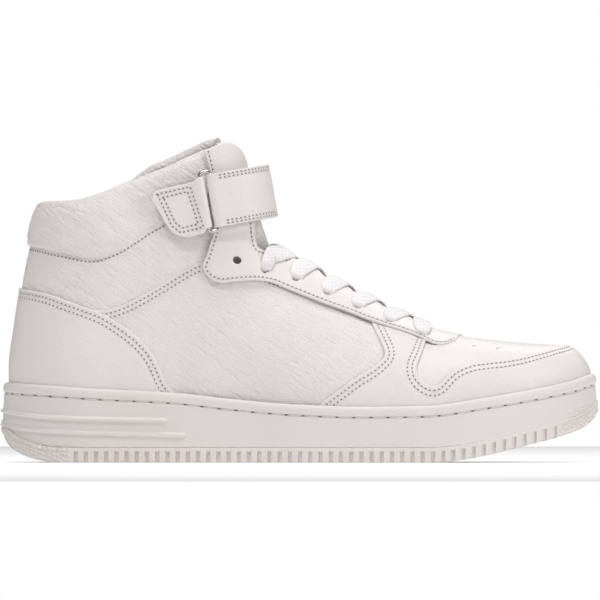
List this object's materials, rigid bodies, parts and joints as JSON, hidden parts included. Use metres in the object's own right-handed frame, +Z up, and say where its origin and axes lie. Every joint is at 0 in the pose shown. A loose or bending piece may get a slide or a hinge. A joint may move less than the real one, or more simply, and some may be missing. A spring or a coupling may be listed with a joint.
{
  "type": "high-top sneaker",
  "caption": "Right white leather basketball high top with padded collar, laced front, ring-and-strap ankle closure and moulded cupsole with slotted tread.",
  "frame": {"origin": "middle of the footprint, on the ground", "axes": "+X towards the toe, +Y towards the inner (medial) side, +Z up"},
  "size_m": [0.2998, 0.1072, 0.1605],
  "materials": {
    "sole_rubber": "matt moulded",
    "sole_thread": "twisted thread",
    "midsole_foam": "foam",
    "board": "fibre board",
    "lining_textile": "knitted",
    "stiffener": "thermoplastic sheet",
    "collar_foam": "open-cell foam",
    "smooth_leather": "smooth, semi-matt",
    "grained_leather": "fine pebble grain",
    "collar_leather": "soft, creased",
    "tongue_leather": "fine pebble grain",
    "strap_leather": "smooth, semi-matt",
    "lace_textile": "flat woven",
    "hook_and_loop": "hook-and-loop tape",
    "ring_metal": "polished"
  },
  "bodies": {
    "shoe": {"outsole": "sole_rubber", "cupsole": "sole_rubber", "cupsole_stitching": "sole_thread", "midsole": "midsole_foam", "lasting_board": "board", "sockliner": "lining_textile", "counter_stiffener": "stiffener", "toe_puff": "stiffener", "lining": "lining_textile", "vamp_lining": "lining_textile", "collar_foam": "collar_foam", "vamp": "smooth_leather", "mudguard": "smooth_leather", "side_panel_lateral": "grained_leather", "side_panel_medial": "grained_leather", "quarter_lateral": "grained_leather", "quarter_medial": "grained_leather", "heel_counter": "smooth_leather", "collar": "collar_leather", "facing_lateral": "smooth_leather", "facing_medial": "smooth_leather", "tongue_base": "tongue_leather", "lace": "lace_textile", "strap_anchor_tab": "strap_leather", "loop_patch": "hook_and_loop"},
    "ring": {"strap_ring": "ring_metal"},
    "strap_near": {"strap_near": "strap_leather"},
    "strap_front": {"strap_front": "strap_leather"},
    "strap_tip": {"strap_tip": "strap_leather", "hook_patch": "hook_and_loop"},
    "tongue": {"tongue_top": "tongue_leather"}
  },
  "joints": [
    {"name": "ring_swing", "type": "hinge", "parent": "shoe", "child": "ring", "pos_m": [-0.04842, -0.0352, 0.13104], "axis": [0.1736, 0, -0.9848], "range_deg": [0, 35]},
    {"name": "strap_swing", "type": "hinge", "parent": "ring", "child": "strap_near", "pos_m": [-0.043, -0.0352, 0.132], "axis": [0.1736, 0, -0.9848], "range_deg": [0, 95]},
    {"name": "strap_front_bend", "type": "hinge", "parent": "strap_near", "child": "strap_front", "pos_m": [-0.02117, -0.02836, 0.13585], "axis": [0.1736, 0, -0.9848], "range_deg": [0, 57]},
    {"name": "strap_tip_bend", "type": "hinge", "parent": "strap_front", "child": "strap_tip", "pos_m": [-0.02117, 0.02476, 0.13585], "axis": [0.1736, 0, -0.9848], "range_deg": [0, 47.5]},
    {"name": "tongue_tilt", "type": "hinge", "parent": "shoe", "child": "tongue", "pos_m": [-0.012, 0, 0.104], "axis": [0, 1, 0], "range_deg": [-8, 3], "stiffness_Nm_per_rad": 0.3}
  ],
  "couplings": [
    {"joint": "strap_front_bend", "follows": "strap_swing", "ratio": 0.6},
    {"joint": "strap_tip_bend", "follows": "strap_swing", "ratio": 0.5}
  ]
}
